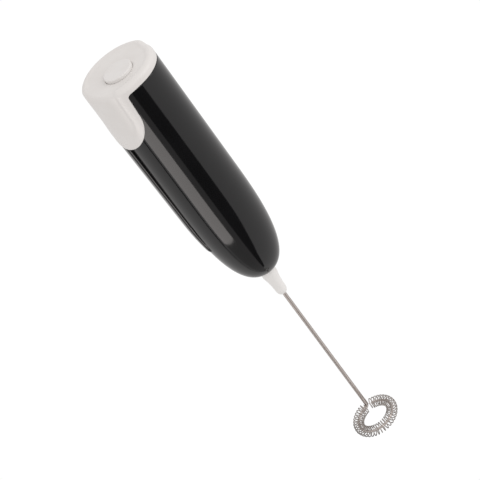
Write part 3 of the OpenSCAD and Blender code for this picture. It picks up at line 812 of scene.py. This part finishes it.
def coverShape():
    left, right = 180 - handle["coverHalf"], 180 + handle["coverHalf"]
    high, low = coverHigh.z, coverLow.z
    grown = cap["fillet"] - cover["gap"]
    heights = [high] + [filletZ + grown * math.cos(math.radians(t)) for t in spread(10, 90, 8)]
    heights += spread(filletZ, roundTop, 10)[1:]
    roundEnd = cap["tongueEnd"] + cover["gap"]
    heights += [roundTop - roundEnd * math.sin(math.radians(t)) for t in spread(3, 90, 30)]
    ribsLow = cover["ribTop"] - (cover["ribs"] - 1) * cover["ribStep"] - 0.6
    heights += spread(cover["ribTop"] + 0.6, ribsLow, 90)
    heights += spread(36, low + 1, 40)
    for z in (lipTop, pocketTop, pocketTop + 4):
        heights += [z + 0.03, z - 0.03]
    heights += [high - fall for fall in (0.06, 0.15, 0.3)]
    heights += [low + rise for rise in (0.5, 0.25, 0.1, 0.03, 0)]
    rows = sorted((z for z in set(heights) if low <= z <= high), reverse=True)
    near = [0.0007, 0.0018, 0.0038, 0.0065, 0.0095, 0.0185, 0.0225]
    lipShare = handle["lipDegrees"] / (right - left)
    shares = [0] + near + [lipShare - 0.0004, lipShare + 0.0004] + spread(0.03, 0.97, 84)
    shares += [1 - lipShare - 0.0004, 1 - lipShare + 0.0004] + [1 - n for n in reversed(near)] + [1]

    def edgeAngle(z):
        if z < roundTop - cap["tongueEnd"] - cover["gap"]:
            return right
        away = math.degrees(tongueWidth(z, cover["gap"]) / tongueRadius)
        return min(right, cap["tongueMiddle"] - away)

    outer, inner = [], []
    for z in rows:
        outerRow, innerRow = [], []
        for share in shares:
            a = left + (edgeAngle(z) - left) * share
            w = math.radians(a - cap["tongueMiddle"]) * tongueRadius
            toTongue = -tongueDepth(w, z) - cover["gap"] if z > 30 else 99
            toSides = min(a - left, right - a) * math.radians(tongueRadius)
            drop = edgeDrop(min(toTongue, high - z), cover["bevel"])
            drop += edgeDrop((z - low) * 0.8, 0.3) * 0.9
            drop = max(drop, edgeDrop(toSides, cover["sideRound"]))
            radius = coverRadius(z) + ribHeight(a, z) - drop
            inside = cover["inner"] if z > pocketTop else handle["pocketRadius"] + 0.1
            lipAway = min(a - left, right - a)
            if lipAway < handle["lipDegrees"] and pocketTop + 4 < z < lipTop:
                inside = handle["radius"] - handle["lip"]
            outerRow.append(polar(max(radius, inside + 0.05), a, z))
            innerRow.append(polar(inside, a, z))
        outer.append(outerRow)
        inner.append(innerRow)
    return walledShell(outer, inner, lambda i, j: True, False)


addPiece("cover", coverShape(), finishes["black_gloss"], "cover", ["battery_cover"])
print("battery cover made")


# drive cone: a sleeve inside the nose, then a hollow curve down to a rounded tip

coneLow, coneHigh = boxInMm("drive_cone")
shaftLow = boxInMm("motor_shaft")[0]
wireHigh = boxInMm("whisk_wire")[1]
noseTip = noseTop - handle["noseLength"]
cone = {
    "radius": 3.7,
    "collar": 3.9,
    "tip": 2.65,
    "round": 1.7,
    "rod": 0.9,
    "shaft": 1.0,
}


def coneShape():
    low, high = coneLow.z, coneHigh.z
    collar = noseTip - cone["collar"]
    bend = cone["round"] + 1.2
    sleeve = cone["radius"] - 0.25
    profile = [(cone["shaft"], high), (cone["radius"] - 0.55, high), (sleeve, high - 0.3)]
    profile += [(sleeve, noseTip + 2.5), (cone["radius"], noseTip + 1.8)]
    flare = cone["radius"] - cone["tip"]
    fall = collar - low - bend
    profile += [(cone["tip"] + flare * (1 - f) ** 2, collar - fall * f) for f in spread(0, 1, 20)]
    profile += [(cone["tip"] - cone["round"] * (1 - math.cos(t)), low + bend * (1 - math.sin(t)))
                for t in spread(0, math.pi / 2, 10)[1:]]
    bore = cone["rod"] + 0.02
    profile += [(bore, low + 0.05), (bore, shaftLow.z), (cone["shaft"], shaftLow.z)]
    return revolved(profile, 72, closed=True)


addPiece("cone", coneShape(), finishes["cone_white"], "spinner", ["drive_cone"])
print("drive cone made")


# whisk: one steel wire down to the ring and round it, with a fine wire wound over the ring

ring = {
    "radius": 9.1,
    "direction": -28,
    "tilt": 3.7,
    "height": noseTip - 99.1,
    "bend": 2.0,
    "stop": 347,
    "core": 0.58,                                 # the wire is drawn thinner where it is wound
    "coilFrom": 6.5,
    "coilTo": 353.5,
    "coilRadius": 2.45,
    "coilWire": 0.23,
    "turns": 40,
    "steps": 24,
    "crowd": 0.08,                                # turns lie closer together near the rod
}
ringCentre = polar(ring["radius"], ring["direction"], 0)
ringSide = polar(1, ring["direction"] + 90, 0)


def ringRadial(a):
    return polar(1, ring["direction"] + 180 + a, 0)


def ringPoint(a, lift=0.0):
    flat = ringCentre + ring["radius"] * ringRadial(a)
    tilt = flat.dot(ringSide) * math.tan(math.radians(ring["tilt"]))
    return Vector((flat.x, flat.y, ring["height"] + tilt + lift))


def rodShape():
    bend, radius = ring["bend"], ring["radius"]
    joint = ring["height"] + bend
    path = [Vector((0, 0, z)) for z in spread(wireHigh.z, joint + 2, 24)]
    normals = [ringRadial(0)] * len(path)
    for t in spread(0, 90, 12):
        turn = math.radians(t)
        a = math.degrees(bend * (1 - math.cos(turn)) / radius)
        path.append(ringPoint(a, bend * (1 - math.sin(turn))))
        normals.append(ringRadial(0))
    start = math.degrees(bend / radius)
    wound = spread(start, ring["stop"], 110)[1:]
    for a in wound:
        path.append(ringPoint(a))
        normals.append(ringRadial(a))
    slim = len(path) - len(wound)
    thinner = ring["core"] - cone["rod"]
    radii = [cone["rod"] + thinner * ease((i - slim) / 6) for i in range(len(path))]
    return swept(path, normals, radii, 20)


def coilShape():
    count = ring["turns"] * ring["steps"]
    tail = cone["rod"] + ring["coilWire"] - 0.02
    path, normals = [], []
    for i in range(count + 1):
        share = i / count
        share -= ring["crowd"] * math.sin(2 * math.pi * share) / (2 * math.pi)
        a = ring["coilFrom"] + (ring["coilTo"] - ring["coilFrom"]) * share
        turn = 2 * math.pi * i / ring["steps"]
        out = math.cos(turn) * ringRadial(a) + math.sin(turn) * Vector((0, 0, 1))
        opened = min(1, 2 * i / ring["steps"], 2 * (count - i) / ring["steps"])
        reach = tail + (ring["coilRadius"] - tail) * opened
        path.append(ringPoint(a) + reach * out)
        normals.append(out)
    return swept(path, normals, [ring["coilWire"]] * len(path), 8)


addPiece("whisk_rod", rodShape(), finishes["stainless_rod"], "spinner",
         ["whisk_wire"])
addPiece("whisk_winding", coilShape(), finishes["stainless_coil"], "spinner",
         ["whisk_coil"])
print("whisk made")


# studio: pale floor, even surround, soft panels and the cards that draw the stripes in the gloss

view = {
    "azimuth": 62,
    "elevation": 33.43,
    "distance": 0.849,
    "aim": (-38.16, -1.746),                      # height on the axis and shift to the right, in mm
    "roll": -36.65,
    "lens": 143.96,
}


toCamera = view["azimuth"] - 90                   # bearing of the camera from the object
floorHalf = 4.0
floorGap = 0.001                                  # metres below the object
cardGap = 0.0005
cardFar = 2.5


def cameraAxes():
    a, e = math.radians(view["azimuth"]), math.radians(view["elevation"])
    right = Vector((math.cos(a), math.sin(a), 0))
    back = Vector((math.sin(a) * math.cos(e), -math.cos(a) * math.cos(e), math.sin(e)))
    return right, back.cross(right), back


def addCamera():
    right, up, back = cameraAxes()
    height, shift = view["aim"]
    target = Vector((0, 0, height * mm)) + right * shift * mm
    roll = math.radians(view["roll"])
    turned = right * math.cos(roll) + up * math.sin(roll)
    upright = up * math.cos(roll) - right * math.sin(roll)
    data = bpy.data.cameras.new("camera")
    data.lens = view["lens"]
    data.sensor_width = 36
    data.clip_start = 0.05
    camera = bpy.data.objects.new("camera", data)
    bpy.context.scene.collection.objects.link(camera)
    place = target + back * view["distance"]
    facing = Matrix((turned, upright, back)).transposed().to_4x4()
    camera.matrix_world = Matrix.Translation(place) @ facing
    bpy.context.scene.camera = camera


def stagePiece(name, corners, colour, strength):
    mesh = bpy.data.meshes.new(name)
    mesh.from_pydata([tuple(c) for c in corners], [], [list(range(len(corners)))])
    shader = Shader(name)
    cloud = shader.noise(3.0, 2.0)
    shader.put({
        "Base Color": (0, 0, 0, 1),
        "Roughness": 0.9,
        "Specular IOR Level": 0.0,
        "Emission Color": shader.mix(cloud, colour, tuple(0.98 * c for c in colour)),
        "Emission Strength": strength,
    })
    mesh.materials.append(shader.material)
    piece = bpy.data.objects.new(name, mesh)
    bpy.context.scene.collection.objects.link(piece)
    return piece


def addFloor():
    half, low = floorHalf, cadBox[0][2] - floorGap
    square = [(-half, -half), (half, -half), (half, half), (-half, half)]
    seen = stagePiece("floor", [(x, y, low) for x, y in square], (1, 1, 1), 1.03)
    seen.visible_diffuse = False                  # the seen sheet is brighter than the one below
    seen.visible_glossy = False
    below = [(x, y, low - floorGap) for x, y in square]
    bounce = stagePiece("floor_bounce", below, (1, 0.985, 0.98), 0.8)
    bounce.visible_camera = False


cards = {                                         # floor wedges: bearing from the camera, reach
    "card_dim": dict(bearing=(-27, -10), reach=(0.012, cardFar),
                     colour=(0.62, 0.60, 0.60), strength=0.7),
    "card_warm": dict(bearing=(-61, -27), reach=(0.178, cardFar),
                      colour=(1.0, 0.95, 0.93), strength=3.0),
    "card_near": dict(bearing=(-61, -27), reach=(0.012, 0.178),
                      colour=(0.98, 0.96, 0.95), strength=0.42),
    "card_line": dict(bearing=(-69, -66), reach=(0.012, cardFar),
                      colour=(0, 0, 0), strength=0),
}
darkCard = {                                      # its right edge swings in towards the object
    "left": -10,
    "right": ((0.038, 0), (0.101, 8), (0.16, 17.4), (0.231, 25.5), (0.3, 28), (cardFar, 28)),
    "strength": 0.07,
}


def addCards():
    low = cadBox[0][2] - cardGap
    outlines = {}
    for name, look in cards.items():
        first, last = (toCamera + b for b in look["bearing"])
        near, far = look["reach"]
        places = ((near, first), (far, first), (far, last), (near, last))
        outlines[name] = ([polar(r, a, low) for r, a in places], look["colour"], look["strength"])
    left = toCamera + darkCard["left"]
    edge = [polar(r, toCamera + b, low) for r, b in reversed(darkCard["right"])]
    corners = [polar(darkCard["right"][0][0], left, low), polar(cardFar, left, low)] + edge
    outlines["card_dark"] = (corners, (1, 1, 1), darkCard["strength"])
    for name, (corners, colour, strength) in outlines.items():
        card = stagePiece(name, corners, colour, strength)
        card.visible_camera = False
        card.visible_diffuse = False
        card.visible_shadow = False
        card.visible_transmission = False


panels = {                                        # bearing from the camera, metres and watts
    "panel_right": dict(bearing=62, height=0.35, distance=0.7, size=(0.5, 0.7), watts=1.6),
    "panel_left": dict(bearing=-62, height=0.12, distance=0.7, size=(0.5, 0.4), watts=0.3),
}


def addPanel(name, look):
    data = bpy.data.lights.new(name, "AREA")
    data.shape = "RECTANGLE"
    data.size, data.size_y = look["size"]
    data.energy = look["watts"]
    lamp = bpy.data.objects.new(name, data)
    bpy.context.scene.collection.objects.link(lamp)
    spot = polar(look["distance"], toCamera + look["bearing"], look["height"])
    lamp.location = spot
    target = Vector((0, 0, view["aim"][0] * mm))
    lamp.rotation_euler = (target - spot).to_track_quat("-Z", "Y").to_euler()


def addSurround():
    world = bpy.data.worlds.new("surround")
    bpy.context.scene.world = world
    world.use_nodes = True
    sky = world.node_tree.nodes["Background"]
    sky.inputs["Color"].default_value = (1.0, 0.985, 0.98, 1)
    sky.inputs["Strength"].default_value = 0.85
    bpy.context.scene.view_settings.view_transform = "Standard"


addCamera()
addFloor()
addCards()
addSurround()
for panelName, look in panels.items():
    addPanel(panelName, look)
print("studio set")
